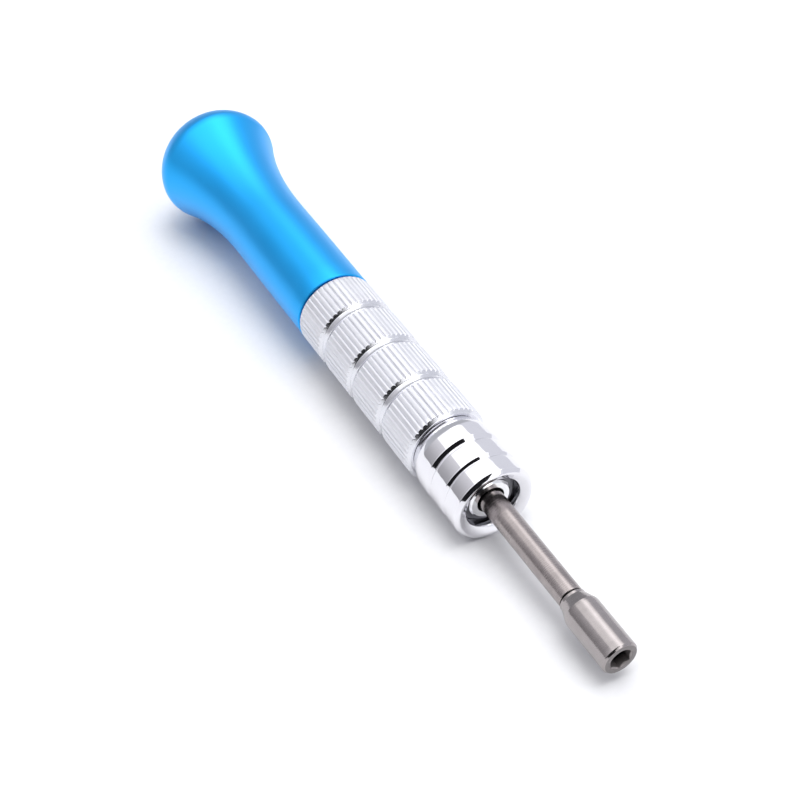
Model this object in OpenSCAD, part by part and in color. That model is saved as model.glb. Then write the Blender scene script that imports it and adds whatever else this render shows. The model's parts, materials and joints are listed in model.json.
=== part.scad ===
// Precision driver with a free-turning palm handle, a knurled finger sleeve,
// a pull-forward quick-release collar and a hexagon nut bit.
// The tool's axis is the X axis. The bit's mouth is at x = 0 and the butt is at
// the far negative end. Stations inside the modules are measured from the seam
// between handle and sleeve, positive towards the bit.

/* [Palm handle] */
// Diameter of the straight part of the handle
handle_d = 14.2; // [13.6:0.2:15]
// Greatest diameter of the flared butt
butt_d = 22.4; // [18:0.2:26]
// Length from the seam to the butt
handle_len = 55.9; // [53:0.1:60]
// How far behind the seam the flare begins
flare_start = 24; // [18:1:28]
// Depth of the dome behind the butt's edge
dome_len = 8.7; // [5:0.1:9]

/* [Finger sleeve] */
// Diameter over the knurl
sleeve_d = 14.1; // [13.7:0.1:15]
// Length of the sleeve
sleeve_len = 37.2; // [36.8:0.1:37.2]
// Number of straight V grooves round the sleeve
flutes = 45; // [30:1:56]
// Depth of each V groove
flute_depth = 0.2; // [0.15:0.05:0.35]
// Width of each V groove at the surface
flute_w = 0.4; // [0.3:0.02:0.6]
// Width of the smooth grooves between the knurled bands
band_groove_w = 2.3; // [1.2:0.1:2.6]
// Depth of the smooth grooves
band_groove_depth = 0.5; // [0.4:0.05:0.7]
// Spacing of the smooth grooves along the sleeve
band_pitch = 9.75; // [9.2:0.05:9.8]

/* [Quick-release chuck] */
// Width across the flats of the bit's shank
shank_af = 4; // [3.8:0.1:4.1]
// Diameter of a locking ball
ball_d = 2.4; // [2.4:0.1:2.5]
// Diameter of the release collar
collar_d = 13.74; // [13.4:0.02:14]
// Diameter of the collar's mouth
mouth_d = 9.4; // [9.4:0.02:9.5]
// Radial travel of the balls for each millimetre of collar travel
cone_slope = 0.18; // [0.16:0.01:0.2]
// Diameter of the spring's wire
wire_d = 0.45; // [0.35:0.05:0.45]
// Number of turns in the spring
spring_turns = 4.5; // [3.5:0.5:4.5]

/* [Nut bit] */
// Overall length of the bit
bit_len = 45; // [44:0.1:45]
// Diameter of the bit's round shaft
shaft_d = 4; // [3.4:0.1:4]
// Diameter of the nut socket
socket_d = 5.8; // [5.2:0.1:6.6]
// Width across the flats of the socket's hexagon
socket_af = 3.2; // [2.6:0.1:3.8]
// Depth of the socket's hexagon
socket_depth = 2.5; // [1.5:0.1:3]
// Clocking of the socket's hexagon on the shaft, in degrees
socket_turn = -2.5; // [-30:0.5:30]

/* [Hidden] */
$fn = 96;
seam_to_tip = 84.1;
run_gap = 0.05;           // radial clearance of sliding steel parts
seam_gap = 0.27;          // open line between handle and sleeve
eps = 0.02;               // gap between faces that touch

// handle and its bearing
handle_r = handle_d / 2;
butt_r = butt_d / 2;
butt_edge = handle_len - dome_len;
front_bush_r = 4;
front_bush_len = 8;
front_bore_end = -10.4;
rear_bush_r = 3.6;
rear_bush_front = -28;
rear_bush_rear = -34;
ball_bore_r = 2.1;
blind_end = -41.3;
thrust_r = 2;
disc_len = 1.2;
spindle_r = 2.5;
journal_r = 2;
spindle_end = -36.05;
clip_front = -8.4;
clip_len = 0.6;

// sleeve and chuck
sleeve_r = sleeve_d / 2;
recess_r = 5.95;
recess_floor = 31;
last_groove = 28.95;
tail_r = 4;
tail_end = 16;
thread_r = 2;
thread_end = 25;
flange_r = 5.5;
skirt_rear = 32.6;
guide_r = 4.92;
guide_end = 38.1;
tube_r = 3.56;
chuck_face = 50.1;
hex_end = 38.9;
chuck_af = shank_af + 0.06;
magnet_r = 2;
magnet_rear = 35;
ring_rear = 49;
ring_front = 49.6;
ring_groove_r = 3.15;
washer_rear = 48.5;
balls = 3;
ball_r = ball_d / 2;
ball_at = 41;
ball_centre_r = shank_af / 2 + ball_r + eps;

// collar
collar_r = collar_d / 2;
mouth_r = mouth_d / 2;
skirt_r = 5.6;
cone_r = ball_centre_r + (ball_r + eps) / cos(atan(cone_slope));
shoulder_bore_r = 4.2;
shoulder_front = 43.4;
nose_at = 51.5;
bevel_from = 36.5;
bevel_to = 39.4;
spring_r = mouth_r - wire_d / 2 - 0.06;

// bit
bit_rear = seam_to_tip - bit_len;
shank_front = 48.8;
neck_r = shaft_d / 2 - 0.15;
socket_rear = 72;
spigot_r = 1.5;
spigot_end = 76.5;
stud_r = 1.2;
stud_len = 3.5;

// puts a part drawn along +Z, from the seam, onto the tool's axis
module on_axis() translate([-seam_to_tip, 0, 0]) rotate([0, 90, 0]) children();

// a body of revolution from [radius, station] pairs
module turned(points) rotate_extrude() polygon(points);

// a plain ring or disc between two stations
module ring(r_out, r_in, from, to) {
    translate([0, 0, from]) difference() {
        cylinder(r = r_out, h = to - from);
        if (r_in > 0) translate([0, 0, -1]) cylinder(r = r_in, h = to - from + 2);
    }
}

// a hexagonal prism with the given width across its flats
module hexagon(af, from, to) {
    translate([0, 0, from]) cylinder(r = af / sqrt(3), h = to - from, $fn = 6);
}

// points on a circular arc in [radius, station] space
function arc(cr, cs, rad, a0, a1, n) =
    [for (i = [0 : n]) let (a = a0 + (a1 - a0) * i / n) [cr + rad * cos(a), cs + rad * sin(a)]];

// points on a curve that leaves a towards b and arrives at c
function bend(a, b, c, n) =
    [for (i = [0 : n]) let (t = i / n) (1 - t) * (1 - t) * a + 2 * t * (1 - t) * b + t * t * c];

// radius of the handle's flare at a distance behind the seam
function flare_r(s) =
    handle_r + (butt_r - 0.06 - handle_r)
        * pow(max(0, s - flare_start) / (butt_edge - flare_start), 2.4);

// ---- palm handle and its bearing ----

function dome_point(a) = [butt_r * cos(a), -butt_edge - dome_len * sin(a)];

module palm_handle() {
    edge_in = butt_edge - 0.9;
    outline = concat(
        [[handle_r - 0.5, -seam_gap], [handle_r - 0.12, -seam_gap - 0.38],
         [handle_r - 0.06, -seam_gap - 4], [handle_r, -flare_start / 1.6]],
        [for (i = [0 : 15]) let (s = flare_start + (edge_in - flare_start) * i / 16)
            [flare_r(s), -s]],
        bend([flare_r(edge_in), -edge_in], [butt_r - 0.02, -butt_edge], dome_point(7), 5),
        [for (i = [1 : 13]) dome_point(7 + (90 - 7) * i / 13)],
        [[0, -seam_gap]]);
    color([0.16, 0.62, 0.92]) on_axis() difference() {
        turned(outline);
        ring(front_bush_r, 0, front_bore_end, 1);
        ring(rear_bush_r, 0, rear_bush_rear, 0);
        ring(ball_bore_r, 0, blind_end, 0);
    }
}

module front_bush() {
    color([0.80, 0.58, 0.30]) on_axis() difference() {
        ring(front_bush_r, spindle_r + 0.03, -seam_gap - front_bush_len, -seam_gap);
        translate([0, 0, -seam_gap - 0.3])
            cylinder(r1 = spindle_r, r2 = spindle_r + 0.4, h = 0.4);
    }
}

module rear_bush() {
    color([0.80, 0.58, 0.30]) on_axis()
        ring(rear_bush_r, journal_r + 0.03, rear_bush_rear, rear_bush_front);
}

module thrust_disc() {
    color([0.55, 0.56, 0.60]) on_axis()
        ring(ball_bore_r, 0, blind_end, blind_end + disc_len);
}

module thrust_ball() {
    color([0.78, 0.79, 0.82]) on_axis()
        translate([0, 0, spindle_end - eps - thrust_r]) sphere(r = thrust_r);
}

module seam_washer() {
    color([0.12, 0.12, 0.14]) on_axis()
        ring(6.1, 4.35, -seam_gap, -eps);
}

// ---- parts that turn with the fingers ----

module spindle() {
    color([0.62, 0.63, 0.66]) on_axis() difference() {
        turned([[0, spindle_end], [journal_r - 0.3, spindle_end],
                [journal_r, spindle_end + 0.3], [journal_r, -26], [spindle_r, -25.5],
                [spindle_r, -seam_gap + eps + 0.12], [4.2, -seam_gap + eps + 0.12],
                [4.2, 1], [spindle_r, 1], [spindle_r, tail_end - 0.3],
                [thread_r, tail_end - 0.3], [thread_r, thread_end - 0.4],
                [thread_r - 0.4, thread_end], [0, thread_end]]);
        ring(4, 2.1, clip_front - clip_len - eps, clip_front + eps);
    }
}

module spindle_clip() {
    color([0.25, 0.25, 0.27]) on_axis() difference() {
        ring(3.7, 2.12, clip_front - clip_len, clip_front);
        translate([0, -1.5, clip_front - 2]) cube([5, 3, 4]);
    }
}

// station of the front edge of smooth groove i, counted from the seam
function groove_front(i) = last_groove - (3 - i) * band_pitch;

module grip_sleeve() {
    w = band_groove_w;
    dip_r = (w * w / 4 + band_groove_depth * band_groove_depth) / (2 * band_groove_depth);
    half = asin(w / 2 / dip_r);
    fronts = [for (i = [1 : 3]) groove_front(i)];
    outline = concat(
        [[spindle_r + 0.04, 0], [sleeve_r - 0.38, 0], [sleeve_r, 0.38]],
        [for (f = fronts) each concat(
            [[sleeve_r, f - w - 0.12]],
            arc(sleeve_r + dip_r - band_groove_depth, f - w / 2, dip_r,
                180 + half, 180 - half, 8),
            [[sleeve_r, f + 0.12]])],
        [[sleeve_r, sleeve_len - 0.53], [sleeve_r - 0.53, sleeve_len],
         [recess_r + 0.1, sleeve_len], [recess_r, sleeve_len - 0.1],
         [recess_r, recess_floor], [tail_r, recess_floor], [tail_r, tail_end],
         [spindle_r + 0.04, tail_end]]);
    over = 0.1;
    spread = flute_w / 2 * (flute_depth + over) / flute_depth;
    color([0.84, 0.85, 0.87]) on_axis() difference() {
        turned(outline);
        ring(4.32, 0, -1, 1.02);
        for (i = [0 : flutes - 1]) rotate([0, 0, (i + 0.25) * 360 / flutes])
            translate([0, 0, -1]) linear_extrude(sleeve_len + 2)
                polygon([[sleeve_r - flute_depth, 0], [sleeve_r + over, -spread],
                         [sleeve_r + over, spread]]);
    }
}

module chuck_body() {
    color([0.72, 0.73, 0.76]) on_axis() difference() {
        turned([[0, tail_end], [tail_r - 0.3, tail_end], [tail_r, tail_end + 0.3],
                [tail_r, recess_floor], [flange_r, recess_floor],
                [flange_r, skirt_rear - eps], [guide_r, skirt_rear - eps],
                [guide_r, guide_end - 0.2], [guide_r - 0.2, guide_end],
                [tube_r, guide_end], [tube_r, chuck_face - 0.3],
                [tube_r - 0.3, chuck_face], [0, chuck_face]]);
        ring(thread_r, 0, tail_end - 1, thread_end + 1);
        ring(1, 0, thread_end, hex_end);
        ring(magnet_r + 0.03, 0, magnet_rear, hex_end + 0.1);
        rotate([0, 0, 30]) hexagon(chuck_af, hex_end, chuck_face + 1);
        translate([0, 0, chuck_face - 0.3])
            cylinder(r1 = chuck_af / 2, r2 = chuck_af / 2 + 0.4, h = 0.4);
        ring(6, ring_groove_r, ring_rear, ring_front + 0.05);
        for (i = [0 : balls - 1]) rotate([0, 0, 180 + i * 360 / balls])
            translate([0, 0, ball_at]) rotate([0, 90, 0]) {
                cylinder(r = ball_r - 0.25, h = 4);
                translate([0, 0, shank_af / 2 + 0.2]) cylinder(r = ball_r + 0.04, h = 4);
            }
    }
}

module bit_magnet() {
    color([0.70, 0.71, 0.73]) on_axis()
        ring(magnet_r, 0, magnet_rear + eps, bit_rear - run_gap);
}

module lock_ball(i) {
    color([0.80, 0.81, 0.84]) on_axis()
        rotate([0, 0, 180 + i * 360 / balls])
            translate([ball_centre_r, 0, ball_at]) sphere(r = ball_r);
}

module lock_ball_1() lock_ball(0);
module lock_ball_2() lock_ball(1);
module lock_ball_3() lock_ball(2);

// ---- release collar and its spring ----

// a turned groove with a short wall behind and a longer rise in front
function collar_groove(from, to, wall, depth) =
    [[collar_r, from], [collar_r - depth, from + wall], [collar_r - depth, from + wall + 0.08],
     [collar_r, to]];

// radius of the bevel behind the collar at a station
function bevel_r(at) =
    skirt_r + (collar_r - skirt_r) * (at - bevel_from) / (bevel_to - bevel_from);

module release_collar() {
    cone_at = function (r) ball_at - (r - cone_r) / cone_slope;
    color([0.90, 0.90, 0.93]) on_axis() turned(concat(
        [[guide_r + run_gap, skirt_rear], [skirt_r, skirt_rear], [skirt_r, bevel_from]],
        bend([bevel_r(bevel_to - 0.9), bevel_to - 0.9], [collar_r, bevel_to],
             [collar_r, bevel_to + 0.9], 6),
        collar_groove(42.6, 43.9, 0.62, 0.42), collar_groove(47.05, 47.95, 0.45, 0.31),
        [[collar_r, nose_at - 0.6], [collar_r - 0.47, nose_at - 0.05], [collar_r - 0.55, nose_at],
         [collar_r - 0.8, nose_at]],
        bend([mouth_r + 0.15, nose_at - 0.62], [mouth_r, nose_at - 0.7],
             [mouth_r, nose_at - 0.9], 4),
        [[mouth_r, shoulder_front], [shoulder_bore_r, shoulder_front],
         [shoulder_bore_r, cone_at(shoulder_bore_r)],
         [guide_r + run_gap, cone_at(guide_r + run_gap)]]));
}

module collar_spring() {
    z0 = shoulder_front + eps + wire_d / 2;
    z1 = washer_rear - eps - wire_d / 2;
    dead = 0.75;
    per_turn = 20;
    around = 8;
    steps = round(spring_turns * per_turn);
    end_rise = dead * wire_d * 1.02;
    rise = function (n) n < dead ? n * wire_d * 1.02
        : n > spring_turns - dead ? z1 - z0 - (spring_turns - n) * wire_d * 1.02
        : end_rise + (z1 - z0 - 2 * end_rise) * (n - dead) / (spring_turns - 2 * dead);
    points = [for (i = [0 : steps]) for (j = [0 : around - 1])
        let (n = i / per_turn, a = 360 * n, b = 360 * j / around,
             r = spring_r + wire_d / 2 * cos(b))
            [r * cos(a), r * sin(a), z0 + rise(n) + wire_d / 2 * sin(b)]];
    sides = [for (i = [0 : steps - 1]) for (j = [0 : around - 1])
        let (k = (j + 1) % around, p = i * around, q = (i + 1) * around)
            each [[p + j, p + k, q + j], [p + k, q + k, q + j]]];
    caps = [[for (j = [around - 1 : -1 : 0]) j],
            [for (j = [0 : around - 1]) steps * around + j]];
    color([0.55, 0.56, 0.58]) on_axis() polyhedron(points, concat(sides, caps));
}

module spring_washer() {
    color([0.70, 0.71, 0.74]) on_axis()
        ring(mouth_r - 0.08, tube_r + 0.04, washer_rear, ring_rear - eps);
}

module snap_ring() {
    color([0.30, 0.30, 0.33]) on_axis() difference() {
        ring(4.15, ring_groove_r + 0.03, ring_rear, ring_front);
        rotate([0, 0, 200]) translate([0, -0.9, ring_rear - 1]) cube([6, 1.8, 3]);
    }
}

// ---- the bit ----

module bit_shaft() {
    shank_r = shank_af / sqrt(3);
    color([0.58, 0.56, 0.55]) on_axis() {
        intersection() {
            rotate([0, 0, 30]) hexagon(shank_af, bit_rear, shank_front);
            turned([[0, bit_rear], [shank_r - 0.6, bit_rear], [shank_r + 0.02, bit_rear + 0.6],
                    [shank_r + 0.02, shank_front - 0.35], [shank_af / 2 + 0.05, shank_front],
                    [0, shank_front]]);
        }
        turned([[0, shank_front - 0.5], [neck_r, shank_front - 0.5],
                [neck_r, shank_front + 0.35], [shaft_d / 2, shank_front + 0.5],
                [shaft_d / 2, socket_rear - 0.2], [shaft_d / 2 - 0.12, socket_rear - 0.02],
                [spigot_r, socket_rear - 0.02], [spigot_r, spigot_end - 0.3],
                [spigot_r - 0.25, spigot_end - 0.02], [0, spigot_end - 0.02]]);
    }
}

module nut_socket() {
    socket_r = socket_d / 2;
    color([0.66, 0.64, 0.62]) on_axis() difference() {
        turned([[spigot_r, socket_rear], [shaft_d / 2 + 0.02, socket_rear],
                [shaft_d / 2 + 0.14, socket_rear + 0.12], [shaft_d / 2 + 0.14, socket_rear + 0.6],
                [socket_r - 0.1, socket_rear + 2.4], [socket_r, socket_rear + 2.7],
                [socket_r, seam_to_tip - 0.26], [socket_r - 0.26, seam_to_tip],
                [0, seam_to_tip], [0, spigot_end], [spigot_r, spigot_end]]);
        rotate([0, 0, socket_turn]) hexagon(socket_af, seam_to_tip - socket_depth, seam_to_tip + 1);
        ring(stud_r, 0, seam_to_tip - socket_depth - stud_len, seam_to_tip);
        translate([0, 0, seam_to_tip - 0.2])
            cylinder(r1 = socket_af / 2, r2 = socket_af / 2 + 0.3, h = 0.3);
    }
}

palm_handle();
front_bush();
rear_bush();
thrust_disc();
thrust_ball();
seam_washer();
spindle();
spindle_clip();
grip_sleeve();
chuck_body();
bit_magnet();
lock_ball_1();
lock_ball_2();
lock_ball_3();
release_collar();
collar_spring();
spring_washer();
snap_ring();
bit_shaft();
nut_socket();
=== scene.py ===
"""Looks of the precision nut driver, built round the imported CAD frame.

Everything is in metres in the row frame: the tool's axis is X, the bit's mouth is at x = 0 and the butt
points to -X. Outlines are lists of (station, radius) in millimetres, which loft() sweeps into meshes.
"""

import json
import math
from math import asin, cos, pi, radians, sin, sqrt, tan

import bmesh
import bpy
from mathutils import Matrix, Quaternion, Vector


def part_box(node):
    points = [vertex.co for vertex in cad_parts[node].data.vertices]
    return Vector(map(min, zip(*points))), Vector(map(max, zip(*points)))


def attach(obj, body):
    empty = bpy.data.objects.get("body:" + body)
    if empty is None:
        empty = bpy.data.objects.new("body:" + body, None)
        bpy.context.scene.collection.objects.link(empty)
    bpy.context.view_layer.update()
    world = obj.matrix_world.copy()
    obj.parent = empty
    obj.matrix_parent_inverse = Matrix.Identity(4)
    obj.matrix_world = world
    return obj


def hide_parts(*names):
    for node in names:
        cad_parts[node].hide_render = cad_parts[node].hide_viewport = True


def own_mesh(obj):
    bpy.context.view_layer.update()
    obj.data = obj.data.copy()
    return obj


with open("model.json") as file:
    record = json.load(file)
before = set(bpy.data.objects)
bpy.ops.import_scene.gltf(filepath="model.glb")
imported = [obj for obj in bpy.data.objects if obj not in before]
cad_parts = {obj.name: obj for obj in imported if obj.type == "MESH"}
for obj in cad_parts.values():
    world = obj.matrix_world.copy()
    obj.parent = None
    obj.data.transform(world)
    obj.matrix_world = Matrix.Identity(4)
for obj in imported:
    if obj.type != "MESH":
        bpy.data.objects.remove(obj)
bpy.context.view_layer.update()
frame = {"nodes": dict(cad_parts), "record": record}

MM = 0.001
ON_AXIS = 1e-6  # a ring with a smaller radius than this is a single point


def box_mm(node):
    """The low and high corners of a CAD node's box, in millimetres."""
    low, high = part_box(node)
    return low / MM, high / MM


SEAM = box_mm("grip_sleeve")[0].x  # station of the joint between handle and sleeve
TIP = box_mm("nut_socket")[1].x


# ---------------------------------------------------------------- outlines


def polar_hexagon(across_flats, turn=0.0):
    """Radius of a hexagon at an angle about X; turn is the angle of one corner, in degrees."""

    def radius(angle):
        a = (angle - radians(turn + 30) + pi / 6) % (pi / 3) - pi / 6
        return across_flats / 2 / cos(a)

    return radius


def arc(centre_x, centre_r, radius, start, end, steps):
    """(station, radius) points on a circle; angles in degrees, 0 towards +X and 90 outwards."""
    angles = [radians(start + (end - start) * i / steps) for i in range(steps + 1)]
    return [(centre_x + radius * cos(a), centre_r + radius * sin(a)) for a in angles]


def bend(a, b, c, steps):
    """Points on a smooth curve that leaves a towards b and arrives at c."""
    out = []
    for i in range(steps + 1):
        t = i / steps
        u = 1 - t
        out.append(tuple(u * u * p + 2 * t * u * q + t * t * r for p, q, r in zip(a, b, c)))
    return out


def eased(points, radius, steps=3):
    """The same open outline with its corners rounded by curves no longer than a third of each side."""
    out = [points[0]]
    for before, here, after in zip(points, points[1:], points[2:]):
        ends = []
        for other in (before, after):
            dx, dr = other[0] - here[0], other[1] - here[1]
            length = math.hypot(dx, dr) or 1.0
            reach = min(radius, length / 3)
            ends.append((here[0] + dx / length * reach, here[1] + dr / length * reach))
        out += bend(ends[0], here, ends[1], steps)
    return out + [points[-1]]


def finer(points, longest):
    """Adds points along an outline so that no side is longer than this."""
    out = []
    for a, b in zip(points, points[1:]):
        n = max(1, math.ceil(math.hypot(b[0] - a[0], b[1] - a[1]) / longest))
        out += [(a[0] + (b[0] - a[0]) * k / n, a[1] + (b[1] - a[1]) * k / n) for k in range(n)]
    return out + [points[-1]]


# ---------------------------------------------------------------- meshes


def add_ring(bm, x, radii, angles):
    """The vertices of one ring round the axis, from millimetres."""
    return [bm.verts.new((x * MM, r * cos(a) * MM, r * sin(a) * MM)) for r, a in zip(radii, angles)]


def bridge(bm, one, two):
    """Joins two rings with faces; either may be a single vertex on the axis."""
    count = max(len(one), len(two))
    if count == 1:
        return
    for i in range(count):
        j = (i + 1) % count
        if len(one) == 1:
            corners = (one[0], two[j], two[i])
        elif len(two) == 1:
            corners = (one[i], one[j], two[0])
        else:
            corners = (one[i], one[j], two[j], two[i])
        bm.faces.new(corners)


def loft(name, outline, body, node, material, angles=192, shape=None, closed=True, crease=28):
    """Sweeps an outline of (station, radius) round the axis.

    angles is a count or a list of angles. shape(station, radius, angle, index) may change a radius.
    closed joins the last point to the first, for a piece with a hole right through it.
    """
    if isinstance(angles, int):
        angles = [2 * pi * i / angles for i in range(angles)]
    bm = bmesh.new()
    rings = []
    for index, (x, r) in enumerate(outline):
        if r < ON_AXIS:
            rings.append([bm.verts.new((x * MM, 0, 0))])
            continue
        radii = [shape(x, r, a, index) if shape else r for a in angles]
        rings.append(add_ring(bm, x, radii, angles))
    for one, two in zip(rings, rings[1:]):
        bridge(bm, one, two)
    if closed:
        bridge(bm, rings[-1], rings[0])
    return finish_piece(name, bm, body, node, material, crease)


def finish_piece(name, bm, body, node, material, crease):
    """Turns a bmesh into a piece with smooth faces and creases, and ties it to the frame."""
    bmesh.ops.recalc_face_normals(bm, faces=bm.faces)
    for face in bm.faces:
        face.smooth = True
    for edge in bm.edges:
        if len(edge.link_faces) == 2:
            edge.smooth = edge.calc_face_angle(0) < radians(crease)
    mesh = bpy.data.meshes.new(name)
    bm.to_mesh(mesh)
    bm.free()
    mesh.materials.append(material)
    piece = bpy.data.objects.new(name, mesh)
    bpy.context.scene.collection.objects.link(piece)
    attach(piece, body)
    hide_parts(node)
    return piece


# ---------------------------------------------------------------- shader nodes


class Graph:
    """A short way to write a node tree. A value is a number, a colour or another node's output."""

    def __init__(self, tree):
        self.tree = tree

    def set(self, socket, value):
        if hasattr(value, "is_output"):
            self.tree.links.new(value, socket)
        else:
            socket.default_value = value

    def add(self, kind, **inputs):
        node = self.tree.nodes.new(kind)
        for key, value in inputs.items():
            self.set(node.inputs[key.replace("_", " ")], value)
        return node

    def math(self, operation, a, b=0.0, clamp=False):
        node = self.tree.nodes.new("ShaderNodeMath")
        node.operation = operation
        node.use_clamp = clamp
        self.set(node.inputs[0], a)
        self.set(node.inputs[1], b)
        return node.outputs[0]

    def between(self, value, low, high, to_low, to_high):
        """Carries the range low to high over to another range, and stops at its ends."""
        node = self.add("ShaderNodeMapRange", Value=value, From_Min=low, From_Max=high, To_Min=to_low,
                        To_Max=to_high)
        return node.outputs[0]

    def step(self, value, edge, soft):
        """0 below the edge and 1 above it, with a soft change between."""
        node = self.add("ShaderNodeMapRange", Value=value, From_Min=edge - soft, From_Max=edge + soft)
        node.interpolation_type = "SMOOTHSTEP"
        return node.outputs[0]

    def mix(self, factor, a, b):
        node = self.tree.nodes.new("ShaderNodeMix")
        node.data_type = "RGBA"
        self.set(node.inputs["Factor"], factor)
        self.set(node.inputs[6], a)
        self.set(node.inputs[7], b)
        return node.outputs[2]


class Surface(Graph):
    """The nodes of one material."""

    def __init__(self, name):
        self.material = bpy.data.materials.new(name)
        self.material.use_nodes = True
        super().__init__(self.material.node_tree)
        self.shader = self.tree.nodes["Principled BSDF"]
        self.place = self.add("ShaderNodeTexCoord").outputs["Object"]
        self.x, self.y, self.z = self.add("ShaderNodeSeparateXYZ", Vector=self.place).outputs

    def vector(self, x, y, z):
        return self.add("ShaderNodeCombineXYZ", X=x, Y=y, Z=z).outputs[0]

    def radius(self):
        """Distance from the tool's axis, in metres."""
        squares = self.math("ADD", self.math("MULTIPLY", self.y, self.y),
                            self.math("MULTIPLY", self.z, self.z))
        return self.math("SQRT", squares)

    def facing(self):
        """How squarely a face looks towards +X, from -1 to 1."""
        normal = self.add("ShaderNodeNewGeometry").outputs["True Normal"]
        return self.add("ShaderNodeSeparateXYZ", Vector=normal).outputs[0]

    def worn_edges(self, sharpness=60.0):
        """1 on outward edges, 0 elsewhere, from the shape of the mesh."""
        pointy = self.add("ShaderNodeNewGeometry").outputs["Pointiness"]
        return self.math("MULTIPLY", self.math("SUBTRACT", pointy, 0.515), sharpness, clamp=True)

    def noise(self, vector, scale, detail=3.0, roughness=0.55):
        """Noise from 0 to 1; scale is in features per metre."""
        node = self.add("ShaderNodeTexNoise", Vector=vector, Scale=scale, Detail=detail, Roughness=roughness)
        return node.outputs[0]

    def turning_lines(self, per_metre):
        """Fine rings round the axis, as a lathe leaves them, on barrels and end faces alike."""
        along = self.math("ADD", self.x, self.math("MULTIPLY", self.radius(), 0.9))
        stray = 0.012
        place = self.vector(along, self.math("MULTIPLY", self.y, stray), self.math("MULTIPLY", self.z, stray))
        return self.noise(place, per_metre, 4.0, 0.7)

    def bump(self, height, distance, strength=1.0, normal=None):
        node = self.add("ShaderNodeBump", Height=height, Strength=strength, Distance=distance)
        if normal is not None:
            self.set(node.inputs["Normal"], normal)
        return node.outputs[0]

    def finish(self, **sockets):
        for key, value in sockets.items():
            self.set(self.shader.inputs[key.replace("_", " ")], value)
        return self.material


# ---------------------------------------------------------------- kinds of material


def anodised(name, colour, pale, roughness):
    """Bead-blasted aluminium under a dyed film."""
    g = Surface(name)
    cloud = g.noise(g.place, 160.0, 2.0)
    grain = g.noise(g.place, 9000.0, 3.0, 0.65)
    fine = g.noise(g.place, 26000.0, 2.0)
    tone = g.mix(g.between(cloud, 0.3, 0.7, 0.0, 0.16), colour, pale)
    tone = g.mix(g.math("MULTIPLY", g.worn_edges(25.0), 0.25), tone, pale)
    rough = g.math("ADD", g.between(grain, 0.3, 0.7, roughness - 0.03, roughness + 0.04),
                   g.between(cloud, 0.3, 0.7, -0.015, 0.015))
    lumps = g.math("ADD", g.math("MULTIPLY", grain, 0.7), g.math("MULTIPLY", fine, 0.3))
    return g.finish(Base_Color=tone, Metallic=1.0, Roughness=rough, Coat_Weight=0.16, Coat_Roughness=0.3,
                    Normal=g.bump(lumps, 2.5e-6, 0.5))


def turned(name, colour, pale, roughness, lines, depth, scratches=0.0, mottle=0.1):
    """Nodes of a turned metal. Their tone and rough outputs can still be changed in places.

    lines is in rings per metre; depth and scratches are heights in metres.
    """
    g = Surface(name)
    rings = g.turning_lines(lines)
    cloud = g.noise(g.place, 420.0, 4.0, 0.6)
    bare = [min(1, share * 1.15) for share in pale[:3]] + [1]
    tone = g.mix(g.between(cloud, 0.35, 0.7, 0.0, mottle * 4), colour, pale)
    g.tone = g.mix(g.math("MULTIPLY", g.worn_edges(), 0.5), tone, bare)
    g.rough = g.math("ADD", g.between(rings, 0.3, 0.7, roughness * 0.8, roughness * 1.2),
                     g.between(cloud, 0.3, 0.7, -roughness * 0.15, roughness * 0.15))
    normal = g.bump(rings, depth, 0.8)
    if scratches:
        stretched = g.vector(g.math("MULTIPLY", g.x, 0.04), g.y, g.z)
        normal = g.bump(g.noise(stretched, 7000.0, 3.0, 0.7), scratches, 0.6, normal)
    g.finish(Base_Color=g.tone, Metallic=1.0, Roughness=g.rough, Normal=normal)
    return g


def turned_metal(name, colour, pale, roughness, lines=9000.0, depth=0.6e-6, scratches=0.0, mottle=0.1):
    return turned(name, colour, pale, roughness, lines, depth, scratches, mottle).material


def knurled_metal(name, colour, pale, satin, cut, cut_r):
    """Satin ridges, with smoother metal on end faces and in grooves that are cut below the radius cut_r."""
    g = turned(name, colour, pale, satin, 7000.0, 0.6e-6, 0.8e-6)
    sloped = g.between(g.math("ABSOLUTE", g.facing()), 0.15, 0.25, 0.0, 1.0)
    sunk = g.between(g.radius(), cut_r, cut_r + 0.00008, 1.0, 0.0)
    smooth = g.math("MAXIMUM", sloped, sunk)
    ridges = g.math("MULTIPLY", g.rough, g.math("SUBTRACT", 1.0, smooth))
    return g.finish(Roughness=g.math("ADD", ridges, g.math("MULTIPLY", smooth, cut)))


def bored_metal(name, colour, pale, roughness, hole, depth, end_face=1.0):
    """Turned metal with painted shade that goes dark inside a hole of this radius, behind the station depth;
    the hole is also dull.

    end_face scales the tone of the flat end that faces +X.
    """
    black = (0.01, 0.01, 0.011, 1)
    g = turned(name, colour, pale, roughness, 12000.0, 0.5e-6, 0.5e-6, 0.15)
    # painted shade: inside the hole and behind the station depth the colour is mixed to black, standing in
    # for the shade deep in the bore
    inside_hole = g.between(g.radius(), hole, hole + 0.00005, 1.0, 0.0)
    deep = g.between(g.x, depth - 0.0009, depth, 1.0, 0.0)
    dim = g.math("MULTIPLY", g.between(g.facing(), 0.85, 0.95, 0.0, 1.0), 1.0 - end_face)
    tone = g.mix(dim, g.tone, black)
    return g.finish(Base_Color=g.mix(g.math("MULTIPLY", inside_hole, deep), tone, black),
                    Roughness=g.math("MAXIMUM", g.rough, g.math("MULTIPLY", inside_hole, 0.6)))


def sintered(name, colour, dark):
    """Bearing metal with fine dark pores."""
    g = Surface(name)
    pores = g.noise(g.place, 14000.0, 4.0, 0.7)
    rings = g.turning_lines(6000.0)
    tone = g.mix(g.between(pores, 0.45, 0.62, 0.6, 0.0), colour, dark)
    return g.finish(Base_Color=tone, Metallic=1.0, Roughness=g.between(pores, 0.3, 0.7, 0.42, 0.3),
                    Normal=g.bump(rings, 1e-6, 0.6, g.bump(pores, 3e-6, 0.5)))


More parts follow.
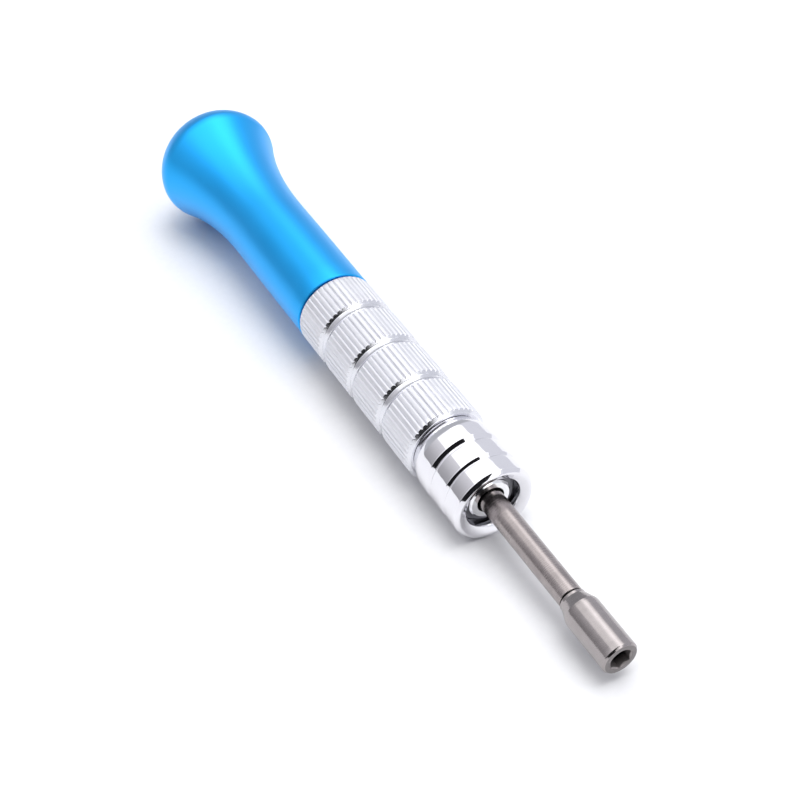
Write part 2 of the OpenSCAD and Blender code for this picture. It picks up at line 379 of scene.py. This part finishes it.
def moulded(name, colour, pale):
    """Dull plastic with a fine grain."""
    g = Surface(name)
    grain = g.noise(g.place, 7000.0, 4.0, 0.6)
    tone = g.mix(g.between(grain, 0.4, 0.7, 0.0, 0.5), colour, pale)
    return g.finish(Base_Color=tone, Roughness=g.between(grain, 0.3, 0.7, 0.42, 0.6),
                    Normal=g.bump(grain, 3e-6, 0.4))


def papered(name, colour, pale):
    """A plain table top with a faint mottle."""
    g = Surface(name)
    paper = g.noise(g.place, 900.0, 3.0)
    return g.finish(Base_Color=g.mix(g.between(paper, 0.3, 0.7, 0.0, 1.0), colour, pale), Roughness=0.6,
                    Specular_IOR_Level=0.5)


# ---------------------------------------------------------------- the materials themselves

BLUE = anodised("blue_anodised", (0.016, 0.42, 0.93, 1), (0.035, 0.48, 0.96, 1), roughness=0.40)
BRIGHT = knurled_metal("bright_aluminium", (0.76, 0.765, 0.80, 1), (0.83, 0.835, 0.865, 1), satin=0.5,
                       cut=0.2, cut_r=0.00675)
CHROME = turned_metal("polished_chrome", (0.82, 0.815, 0.845, 1), (0.87, 0.87, 0.89, 1), roughness=0.07,
                      lines=4000.0, depth=0.12e-6)
STEEL = turned_metal("ground_steel", (0.66, 0.66, 0.68, 1), (0.78, 0.78, 0.80, 1), roughness=0.22,
                     lines=12000.0)
# the chuck's bore and the socket's hex hole get painted shade from bored_metal
CHUCK = bored_metal("chuck_steel", (0.76, 0.76, 0.77, 1), (0.86, 0.86, 0.87, 1), roughness=0.14,
                    hole=0.00234, depth=0.0)
SHAFT = turned_metal("shaft_steel", (0.315, 0.283, 0.278, 1), (0.41, 0.37, 0.36, 1), roughness=0.25,
                     lines=15000.0, depth=0.5e-6, scratches=0.5e-6, mottle=0.18)
SOCKET = bored_metal("socket_steel", (0.355, 0.328, 0.323, 1), (0.44, 0.405, 0.40, 1), roughness=0.18,
                     hole=0.00188, depth=-0.0008, end_face=0.5)
SPRING = turned_metal("spring_steel", (0.09, 0.09, 0.10, 1), (0.16, 0.16, 0.17, 1), roughness=0.32)
BALLS = turned_metal("ball_steel", (0.78, 0.78, 0.81, 1), (0.86, 0.86, 0.88, 1), roughness=0.09,
                     lines=3000.0, depth=0.1e-6)
BRONZE = sintered("bronze", (0.62, 0.36, 0.14, 1), (0.26, 0.13, 0.05, 1))
NICKEL = turned_metal("magnet_nickel", (0.66, 0.65, 0.63, 1), (0.78, 0.77, 0.75, 1), roughness=0.2,
                      lines=5000.0)
BLACK = moulded("black_plastic", (0.015, 0.015, 0.018, 1), (0.04, 0.04, 0.045, 1))

BY_SLOT = {
    "blue_anodised": BLUE,
    "bright_aluminium": BRIGHT,
    "polished_chrome": CHROME,
    "ground_steel": STEEL,
    "tool_steel": SHAFT,
    "spring_steel": SPRING,
    "ball_steel": BALLS,
    "bronze": BRONZE,
    "magnet_nickel": NICKEL,
    "black_plastic": BLACK,
}
BY_NODE = {"chuck_body": CHUCK, "spring_washer": SPRING}  # where one piece differs from its slot

# the CAD nodes that stay as they are take their node's or their slot's material
for part in frame["record"]["subparts"]:
    mesh = frame["nodes"][part["node"]].data
    mesh.materials.clear()
    mesh.materials.append(BY_NODE.get(part["node"], BY_SLOT[part["material_slot"]]))


# ---------------------------------------------------------------- palm handle

handle_lo, handle_hi = box_mm("palm_handle")
HANDLE_R = 7.1
FLARE_START = 24.0  # distance behind the seam
DOME = 8.7  # length of the butt's dome along the axis
DOME_STOP = 7  # degrees from the butt's edge at which the dome turns into the edge's curve
butt_r = handle_hi.z + 0.075
butt_edge = SEAM - handle_lo.x - DOME  # distance of the widest ring behind the seam
edge_in = butt_edge - 0.9
face = handle_hi.x


def flare(behind):
    """Radius of the handle at a distance behind the seam."""
    share = max(0.0, behind - FLARE_START) / (butt_edge - FLARE_START)
    return HANDLE_R + (butt_r - 0.06 - HANDLE_R) * share ** 2.4


def dome(degrees):
    """A point of the butt's dome; 0 is its edge and 90 its pole."""
    a = radians(degrees)
    return (SEAM - butt_edge - DOME * sin(a), butt_r * cos(a))


def handle_bores():
    """The seats of both bushes and the blind bore for the thrust ball, from the face inwards."""
    front_bush_r, front_bush_end = 4.0, SEAM - 10.4
    rear_bush_r, rear_bush_end = 3.6, SEAM - 34
    ball_r, blind_end = 2.1, SEAM - 41.3
    return [(face, front_bush_r + 0.1), (face - 0.1, front_bush_r), (front_bush_end, front_bush_r),
            (front_bush_end, rear_bush_r), (rear_bush_end, rear_bush_r), (rear_bush_end, ball_r),
            (blind_end, ball_r), (blind_end, 0.0)]


handle_outline = [(handle_lo.x, 0.0)]
handle_outline += [dome(90 - (90 - DOME_STOP) * i / 40) for i in range(1, 40)]
handle_outline += bend(dome(DOME_STOP), (SEAM - butt_edge, butt_r - 0.02),
                       (SEAM - edge_in, flare(edge_in)), 8)
for i in range(1, 71):
    behind = edge_in + (FLARE_START - edge_in) * i / 70
    handle_outline.append((SEAM - behind, flare(behind)))
handle_outline += [(SEAM - 15, HANDLE_R), (face - 8, HANDLE_R - 0.03), (face - 4, HANDLE_R - 0.06)]
handle_outline += bend((face - 0.2, HANDLE_R - 0.07), (face - 0.02, HANDLE_R - 0.08),
                       (face, HANDLE_R - 0.25), 5)
handle_outline += handle_bores()
loft("palm_handle_shell", handle_outline, "palm_handle", "palm_handle", BLUE, closed=False)


# ---------------------------------------------------------------- finger sleeve

sleeve_hi = box_mm("grip_sleeve")[1]
SLEEVE_R = sleeve_hi.z
SLEEVE_END = sleeve_hi.x
RIBS = 45
V_DEPTH = 0.2
V_HALF = 0.2  # half the width of a V groove at the surface
GROOVE = 2.3  # width of a smooth groove
GROOVE_DEPTH = 0.5
GROOVE_ROOT = 0.2  # radius between a groove's rear wall and its floor
WALL_SLOPE = 47.0  # slope of that wall, in degrees
GROOVE_PITCH = 9.75
LAST_GROOVE = SEAM + 28.95  # station of the front edge of the foremost groove
REAR_CHAMFER = 0.42
FRONT_CHAMFER = 0.56
CHAMFER_STEP = 0.05  # close rings, so that the V grooves end cleanly in the chamfers
RECESS_R = 5.95  # the collar's skirt slides in this recess
PITCH = 2 * pi / RIBS
# points across one ridge, from the middle of one V groove to the next, as shares of the pitch
ACROSS_RIB = (0.0, 0.08, 0.15, 0.21, 0.26, 0.34, 0.5, 0.66, 0.74, 0.79, 0.85, 0.92)


def knurl(x, r, angle, index):
    """Radius of the bar with its straight V grooves, or of the turned outline where that lies deeper."""
    from_valley = (PITCH / 2 - abs((angle % PITCH) - PITCH / 2)) * SLEEVE_R
    cut = V_DEPTH * max(0.0, 1 - from_valley / V_HALF)
    rounding = 0.012 * max(0.0, 1 - abs(from_valley - V_HALF) / 0.1)
    crown = 0.012 * (1 - from_valley / (SLEEVE_R * PITCH / 2)) ** 2
    return min(r, SLEEVE_R - cut - rounding - crown)


def sleeve_groove(front):
    """A smooth groove that ends at this station: a steep wall behind, then a floor and a curved rise."""
    back, floor = front - GROOVE, SLEEVE_R - GROOVE_DEPTH
    slope = radians(WALL_SLOPE)
    root_rise = GROOVE_ROOT * (1 - cos(slope))
    wall_foot = back + (GROOVE_DEPTH - root_rise) / tan(slope)
    curve = arc(wall_foot + GROOVE_ROOT * sin(slope), floor + GROOVE_ROOT, GROOVE_ROOT,
                -90 - WALL_SLOPE, -90, 8)
    wall = finer([(back + 0.01, SLEEVE_R - 0.012), curve[0]], 0.05)
    dip = (GROOVE ** 2 / 4 + GROOVE_DEPTH ** 2) / (2 * GROOVE_DEPTH)
    half = math.degrees(asin(GROOVE / 2 / dip))
    rise = arc(front - GROOVE / 2, floor + dip, dip, -90, -90 + half, 8)
    return [(back - 0.05, SLEEVE_R), (back, SLEEVE_R)] + wall + curve[1:] + rise + [(front + 0.05, SLEEVE_R)]


def sleeve_bores():
    """From the recess for the collar down to the chuck's tail and the spindle."""
    recess_floor, tail_end = SEAM + 31, SEAM + 16
    tail_r, spindle_r = 4.0, 2.54
    washer_floor, washer_r = SEAM + 1.02, 4.32
    return [(recess_floor, RECESS_R), (recess_floor, tail_r), (tail_end, tail_r), (tail_end, spindle_r),
            (washer_floor, spindle_r), (washer_floor, washer_r)]


sleeve_outline = [(SEAM + 0.02, 4.36), (SEAM, 4.4), (SEAM, SLEEVE_R - REAR_CHAMFER)]
sleeve_outline += finer([(SEAM + 0.03, SLEEVE_R - REAR_CHAMFER + 0.06),
                         (SEAM + REAR_CHAMFER - 0.06, SLEEVE_R - 0.02),
                         (SEAM + REAR_CHAMFER, SLEEVE_R)], CHAMFER_STEP)
for pitches_back in (2, 1, 0):
    sleeve_outline += sleeve_groove(LAST_GROOVE - pitches_back * GROOVE_PITCH)
sleeve_outline += finer([(SLEEVE_END - FRONT_CHAMFER, SLEEVE_R),
                         (SLEEVE_END - FRONT_CHAMFER + 0.05, SLEEVE_R - 0.03),
                         (SLEEVE_END - 0.04, SLEEVE_R - FRONT_CHAMFER + 0.06)], CHAMFER_STEP)
sleeve_outline += [(SLEEVE_END, SLEEVE_R - FRONT_CHAMFER), (SLEEVE_END, RECESS_R + 0.12),
                   (SLEEVE_END - 0.03, RECESS_R + 0.03), (SLEEVE_END - 0.12, RECESS_R)]
sleeve_outline = finer(sleeve_outline, 0.9) + sleeve_bores()
loft("grip_sleeve_shell", sleeve_outline, "grip", "grip_sleeve", BRIGHT,
     angles=[(i + share) * PITCH for i in range(RIBS) for share in ACROSS_RIB], shape=knurl, crease=32)


# ---------------------------------------------------------------- release collar

collar_lo, collar_hi = box_mm("release_collar")
COLLAR_R = collar_hi.z
NOSE = collar_hi.x
SKIRT_R = 5.6
SKIRT_BORE_R = 4.97
CONE_R = 4.2  # bore at the narrow end of the cone that presses the balls
CONE_FROM, CONE_TO = SEAM + 38.16, SEAM + 42.44
MOUTH_R = 4.7
MOUTH_FLOOR = SEAM + 43.4
BEVEL_FROM = SEAM + 36.5
BEVEL_TO = SEAM + 39.4
BEVEL_FOOT = [(SEAM + 37.24, 5.925), (SEAM + 37.48, 6.12)]  # a slight change of slope low on the bevel


def collar_groove(back, front, wall, depth):
    """A shallow V groove with a narrow floor; wall is the length of its side that faces the bit."""
    low = COLLAR_R - depth
    return [(back, COLLAR_R), (back + wall, low), (back + wall + 0.08, low), (front, COLLAR_R)]


def bevel_at(x):
    """Radius on the long bevel behind the barrel."""
    return SKIRT_R + (COLLAR_R - SKIRT_R) * (x - BEVEL_FROM) / (BEVEL_TO - BEVEL_FROM)


collar_outline = [(collar_lo.x, SKIRT_BORE_R), (collar_lo.x, SKIRT_R), (BEVEL_FROM, SKIRT_R)] + BEVEL_FOOT
collar_outline += bend((BEVEL_TO - 0.9, bevel_at(BEVEL_TO - 0.9)), (BEVEL_TO, COLLAR_R),
                       (BEVEL_TO + 0.9, COLLAR_R), 10)
collar_outline += eased([(SEAM + 41.0, COLLAR_R)]
                        + collar_groove(SEAM + 42.6, SEAM + 43.9, wall=0.62, depth=0.42)
                        + collar_groove(SEAM + 47.05, SEAM + 47.95, wall=0.45, depth=0.31)
                        + [(NOSE - 0.6, COLLAR_R), (NOSE - 0.05, COLLAR_R - 0.47), (NOSE, COLLAR_R - 0.55),
                           (NOSE, COLLAR_R - 0.8)], 0.09)
collar_outline += bend((NOSE - 0.02, COLLAR_R - 0.85), (NOSE - 0.55, MOUTH_R + 0.25),
                       (NOSE - 0.62, MOUTH_R + 0.15), 8)
collar_outline += bend((NOSE - 0.64, MOUTH_R + 0.1), (NOSE - 0.7, MOUTH_R), (NOSE - 0.9, MOUTH_R), 5)
collar_outline = finer(collar_outline, 1.2)
collar_outline += [(MOUTH_FLOOR, MOUTH_R), (MOUTH_FLOOR, CONE_R), (CONE_TO, CONE_R),
                   (CONE_FROM, SKIRT_BORE_R)]
loft("release_collar_shell", collar_outline, "release_collar", "release_collar", CHROME,
     angles=256, crease=30)


# ---------------------------------------------------------------- collar spring

spring_lo, spring_hi = box_mm("collar_spring")
free_length = spring_hi.x - spring_lo.x
WIRE_R = 0.225
TURNS = 4.5
DEAD = 0.75  # closed turns at each end


def coil_rise(turn):
    """How far the wire's middle has risen after so many turns of a coil with closed ends."""
    length = free_length - 2 * WIRE_R
    closed = 2 * WIRE_R * 1.02
    if turn < DEAD:
        return turn * closed
    if turn > TURNS - DEAD:
        return length - (TURNS - turn) * closed
    return DEAD * closed + (length - 2 * DEAD * closed) * (turn - DEAD) / (TURNS - 2 * DEAD)


def coil(name, body, node, material, per_turn=44, around=14):
    """A helical wire with its two ends closed by flat faces."""
    coil_r = spring_hi.z - WIRE_R
    bm = bmesh.new()
    rings = []
    for i in range(round(TURNS * per_turn) + 1):
        turn = i / per_turn
        a = 2 * pi * turn
        x = spring_lo.x + WIRE_R + coil_rise(turn)
        ring = []
        for j in range(around):
            b = 2 * pi * j / around
            r = coil_r + WIRE_R * cos(b)
            ring.append(bm.verts.new(((x + WIRE_R * sin(b)) * MM, r * sin(a) * MM, -r * cos(a) * MM)))
        rings.append(ring)
    for one, two in zip(rings, rings[1:]):
        bridge(bm, one, two)
    bm.faces.new(rings[0])
    bm.faces.new(rings[-1])
    return finish_piece(name, bm, body, node, material, crease=40)


wire = coil("collar_spring_wire", "grip", "collar_spring", SPRING)
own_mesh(wire)


# ---------------------------------------------------------------- bit's shaft

shaft_lo, shaft_hi = box_mm("bit_shaft")
socket_lo, socket_hi = box_mm("nut_socket")
SHANK_AF = 4.0
SHANK_CORNER = SHANK_AF / sqrt(3)
SHAFT_R = 2.0
SPIGOT_R = 1.5
HEX_FRONT = SEAM + 48.8
shank = polar_hexagon(SHANK_AF)


def shank_shape(x, r, angle, index):
    """The hexagonal shank: a hexagon cut back by the turned outline's chamfers."""
    return min(r, shank(angle)) if x <= HEX_FRONT + 1e-6 else r


def shank_chamfers():
    """The turned chamfers at the shank's two ends, with enough rings to cut the corners cleanly."""
    rear, front = 0.62, 0.35
    drop = SHANK_CORNER - SHANK_AF / 2 - 0.03
    rear_end = [(shaft_lo.x + rear * i / 6, SHANK_CORNER - 0.6 + rear * i / 6) for i in range(7)]
    front_end = [(HEX_FRONT - front + front * i / 4, SHANK_CORNER + 0.02 - drop * i / 4) for i in range(5)]
    return rear_end + front_end


shaft_outline = [(shaft_lo.x, 0.0)] + shank_chamfers()
shaft_outline += [(HEX_FRONT, SHAFT_R - 0.15), (HEX_FRONT + 0.35, SHAFT_R - 0.15), (HEX_FRONT + 0.5, SHAFT_R)]
shaft_outline += [(x, SHAFT_R) for x in (HEX_FRONT + 3, HEX_FRONT + 8, HEX_FRONT + 14, socket_lo.x - 3)]
# the narrow turned groove that shows as the joint line behind the socket
shaft_outline += bend((socket_lo.x - 0.4, SHAFT_R), (socket_lo.x - 0.28, SHAFT_R),
                      (socket_lo.x - 0.22, SHAFT_R - 0.08), 4)
shaft_outline += [(socket_lo.x - 0.2, SHAFT_R - 0.3), (socket_lo.x - 0.16, SPIGOT_R - 0.01),
                  (shaft_hi.x - 0.3, SPIGOT_R - 0.01), (shaft_hi.x, SPIGOT_R - 0.25), (shaft_hi.x, 0.0)]
loft("bit_shaft_turned", shaft_outline, "bit", "bit_shaft", SHAFT, angles=144,
     shape=shank_shape, closed=False, crease=26)


# ---------------------------------------------------------------- nut socket

SOCKET_AF = 3.2
SOCKET_R = socket_hi.z
SOCKET_TURN = 27.5  # angle of one of the hexagon's corners, in degrees
HEX_FLOOR = TIP - 2.5
HEX_CHAMFER = 0.22
STUD_R = 1.2
STUD_FLOOR = HEX_FLOOR - 3.5
NECK_R = SHAFT_R + 0.02
BEVEL_LEN = 0.33
BEVEL_DROP = 0.27
mouth_hex = polar_hexagon(SOCKET_AF, SOCKET_TURN)

socket_outline = [(shaft_hi.x + 0.02, 0.0), (shaft_hi.x + 0.02, SPIGOT_R), (socket_lo.x, SPIGOT_R)]
socket_outline += eased([(socket_lo.x, SPIGOT_R + 0.2), (socket_lo.x + 0.05, NECK_R),
                         (socket_lo.x + 0.16, NECK_R + 0.12), (socket_lo.x + 0.6, NECK_R + 0.12),
                         (socket_lo.x + 2.45, SOCKET_R - 0.05), (socket_lo.x + 2.9, SOCKET_R),
                         (TIP - BEVEL_LEN, SOCKET_R), (TIP, SOCKET_R - BEVEL_DROP), (TIP, 1.95)], 0.06)
socket_outline = finer(socket_outline, 1.0)
hex_from = len(socket_outline)
# the hexagon's rings, close together where its mouth is chamfered; socket_shape() gives their radius
inwards = (0.01, 0.06, 0.12, 0.18, 0.24, 0.3, 1.0, 1.8)
socket_outline += [(TIP - d, SOCKET_AF / 2) for d in inwards] + [(HEX_FLOOR, SOCKET_AF / 2)]
hex_to = len(socket_outline) - 1
socket_outline += [(HEX_FLOOR, STUD_R + 0.08), (HEX_FLOOR - 0.08, STUD_R), (STUD_FLOOR, STUD_R),
                   (STUD_FLOOR, 0.0)]


def socket_shape(x, r, angle, index):
    """The hexagonal hole and its chamfered mouth; every other ring is round."""
    if index < hex_from or index > hex_to:
        return r
    if index == hex_to:
        return mouth_hex(angle)
    return max(mouth_hex(angle), SOCKET_AF / 2 + HEX_CHAMFER - (TIP - x))


loft("nut_socket_turned", socket_outline, "bit", "nut_socket", SOCKET,
     angles=[radians(SOCKET_TURN) + 2 * pi * i / 180 for i in range(180)],
     shape=socket_shape, closed=False, crease=24)


# ---------------------------------------------------------------- table

# the tool lies on its butt's edge and its collar, so the table falls away from the axis towards the butt
TABLE_REACH = 2.5  # half its side, in metres
TABLE_GAP = 0.00005
CONTACT = 40  # distance in front of the seam at which the collar touches the table
contact_r = butt_r - 0.08
table_lean = (contact_r - COLLAR_R) / (CONTACT + butt_edge)


def table_z(x):
    """Height of the table's top at x, in metres."""
    return -contact_r * MM + (x - (SEAM - butt_edge) * MM) * table_lean - TABLE_GAP


corners = [(sx * TABLE_REACH, sy * TABLE_REACH) for sx, sy in ((-1, -1), (1, -1), (1, 1), (-1, 1))]
mesh = bpy.data.meshes.new("table_top")
mesh.from_pydata([(x, y, table_z(x)) for x, y in corners], [], [(0, 1, 2, 3)])
mesh.materials.append(papered("table_white", (0.765, 0.769, 0.782, 1), (0.785, 0.789, 0.80, 1)))
table = bpy.data.objects.new("table_top", mesh)
bpy.context.scene.collection.objects.link(table)


# ---------------------------------------------------------------- camera

AZIMUTH = radians(60.7)
ELEVATION = radians(43.7)
ROLL = radians(0.12)
DISTANCE = 0.255
AIM = Vector((-58.5, -1.9, 1.1)) * MM

to_camera = Vector((sin(AZIMUTH) * cos(ELEVATION), -cos(AZIMUTH) * cos(ELEVATION), sin(ELEVATION)))
camera = bpy.data.objects.new("camera", bpy.data.cameras.new("camera"))
camera.data.lens = 72.3
camera.data.sensor_width = 36.0
camera.data.clip_start = 0.01
camera.location = AIM + to_camera * DISTANCE
camera.rotation_mode = "QUATERNION"
camera.rotation_quaternion = (-to_camera).to_track_quat("-Z", "Y") @ Quaternion((0, 0, 1), ROLL)
bpy.context.scene.collection.objects.link(camera)
bpy.context.scene.camera = camera


# ---------------------------------------------------------------- light tent

# a bright ceiling that leans to +Y, a pale wall beyond it, a grey wall towards -Y, a plain grey one at the
# butt's end, and a dark opening in front, which the tool's bevels reflect
SIDE_WAY = Vector((0, to_camera.z, -to_camera.y)).normalized()  # across the axis, level with the picture
END_WAY = SIDE_WAY.cross(to_camera)  # along the picture, towards the bit
UP_WAY = Vector((0, to_camera.y, to_camera.z)).normalized()

CEILING_FROM = radians(-7.6)
CEILING_TO = radians(67)
CEILING_LEVEL = 1.15
STRIP_AT, STRIP_WIDTH, STRIP_LEVEL = radians(46), radians(9), 1.0
MIDDLE_WIDTH, MIDDLE_LEVEL = 0.35, 0.9
WALL_TOP, WALL_MIDDLE, WALL_BOTTOM = radians(-10), radians(-45), radians(-65)
BACK_WALL = (0.78, 0.79, 0.86, 1)
BUTT_WALL = (0.50, 0.51, 0.55, 1)
BUTT_WALL_FROM = -0.74  # as a share along X
OPENING = (0.012, 0.012, 0.014, 1)
OPENING_FROM, OPENING_TO = -0.42, 0.78  # as shares along END_WAY


class Tent(Graph):
    """The surroundings as colours by direction."""

    def __init__(self, world):
        world.use_nodes = True
        world.node_tree.nodes.clear()
        super().__init__(world.node_tree)
        self.direction = self.add("ShaderNodeTexCoord").outputs["Generated"]

    def along(self, way):
        """Share of the direction that lies along a way, from -1 to 1."""
        node = self.tree.nodes.new("ShaderNodeVectorMath")
        node.operation = "DOT_PRODUCT"
        self.set(node.inputs[0], self.direction)
        self.set(node.inputs[1], way)
        return node.outputs["Value"]

    def bell(self, value, middle, width):
        """1 at the middle, falling off smoothly on both sides."""
        off = self.math("DIVIDE", self.math("SUBTRACT", value, middle), width)
        return self.math("EXPONENT", self.math("MULTIPLY", self.math("MULTIPLY", off, off), -0.5))

    def inside(self, value, low, high, soft):
        above = self.math("SUBTRACT", 1.0, self.step(value, high, soft))
        return self.math("MULTIPLY", self.step(value, low, soft), above)

    def tinted(self, level, tint):
        node = self.tree.nodes.new("ShaderNodeCombineColor")
        for socket, share in zip(node.inputs, tint):
            self.set(socket, self.math("MULTIPLY", level, share))
        return node.outputs[0]

    def finish(self, colour):
        background = self.add("ShaderNodeBackground", Color=colour, Strength=1.0)
        output = self.tree.nodes.new("ShaderNodeOutputWorld")
        self.tree.links.new(background.outputs[0], output.inputs[0])


def ceiling(tent, over, x_way):
    """Even light with a brighter strip along the tool and a brighter middle."""
    level = tent.math("ADD", CEILING_LEVEL,
                      tent.math("MULTIPLY", tent.bell(over, STRIP_AT, STRIP_WIDTH), STRIP_LEVEL))
    level = tent.math("ADD", level, tent.math("MULTIPLY", tent.bell(x_way, 0.0, MIDDLE_WIDTH), MIDDLE_LEVEL))
    return tent.tinted(level, (1.0, 1.0, 1.02))


def grey_wall(tent, over, x_way):
    """A wall that darkens downwards, and is brighter everywhere but towards the butt's end."""
    level = tent.math("ADD", tent.between(over, WALL_MIDDLE, WALL_TOP, 0.46, 0.76),
                      tent.between(over, WALL_BOTTOM, WALL_MIDDLE, -0.09, 0.0))
    near = tent.math("ADD", 1.0, tent.math("MULTIPLY", tent.step(x_way, -0.4, 0.08), 0.75))
    return tent.tinted(tent.math("MULTIPLY", level, near), (1.0, 0.99, 1.05))


def dark_opening(tent):
    """Where the tent is open, in front of the tool; it reaches less far up towards the bit."""
    along_end = tent.along(END_WAY)
    top = tent.between(along_end, 0.08, 0.24, 0.64, 0.08)
    over_top = tent.step(tent.math("SUBTRACT", tent.along(SIDE_WAY), top), 0.0, 0.03)
    below_top = tent.math("SUBTRACT", 1.0, over_top)
    opening = tent.math("MULTIPLY", tent.inside(along_end, OPENING_FROM, OPENING_TO, 0.03), below_top)
    return tent.math("MULTIPLY", opening, tent.step(tent.along(to_camera), 0.3, 0.05))


world = bpy.data.worlds.new("light_tent")
bpy.context.scene.world = world
tent = Tent(world)
x_way = tent.along((1, 0, 0))
over = tent.math("ARCTAN2", tent.along(SIDE_WAY), tent.along(UP_WAY))  # angle about the axis, 0 at the camera
colour = tent.mix(tent.step(over, CEILING_FROM, 0.025), grey_wall(tent, over, x_way),
                  ceiling(tent, over, x_way))
colour = tent.mix(tent.step(over, CEILING_TO, 0.04), colour, BACK_WALL)
colour = tent.mix(tent.step(x_way, BUTT_WALL_FROM, 0.04), BUTT_WALL, colour)
tent.finish(tent.mix(dark_opening(tent), colour, OPENING))


# ---------------------------------------------------------------- lamp and view

# a soft overhead lamp that lifts the table but isn't mirrored in the metal
lamp = bpy.data.objects.new("overhead", bpy.data.lights.new("overhead", "SUN"))
lamp.data.energy = 1.1
lamp.data.angle = radians(30)
lamp.rotation_mode = "QUATERNION"
lamp.rotation_quaternion = Vector((0.05, 0.05, 1.0)).to_track_quat("Z", "Y")
lamp.visible_glossy = False
bpy.context.scene.collection.objects.link(lamp)

view = bpy.context.scene.view_settings
view.view_transform = "Standard"
view.look = "None"
view.exposure = 0.0
view.gamma = 1.0
bpy.context.scene.cycles.use_denoising = True
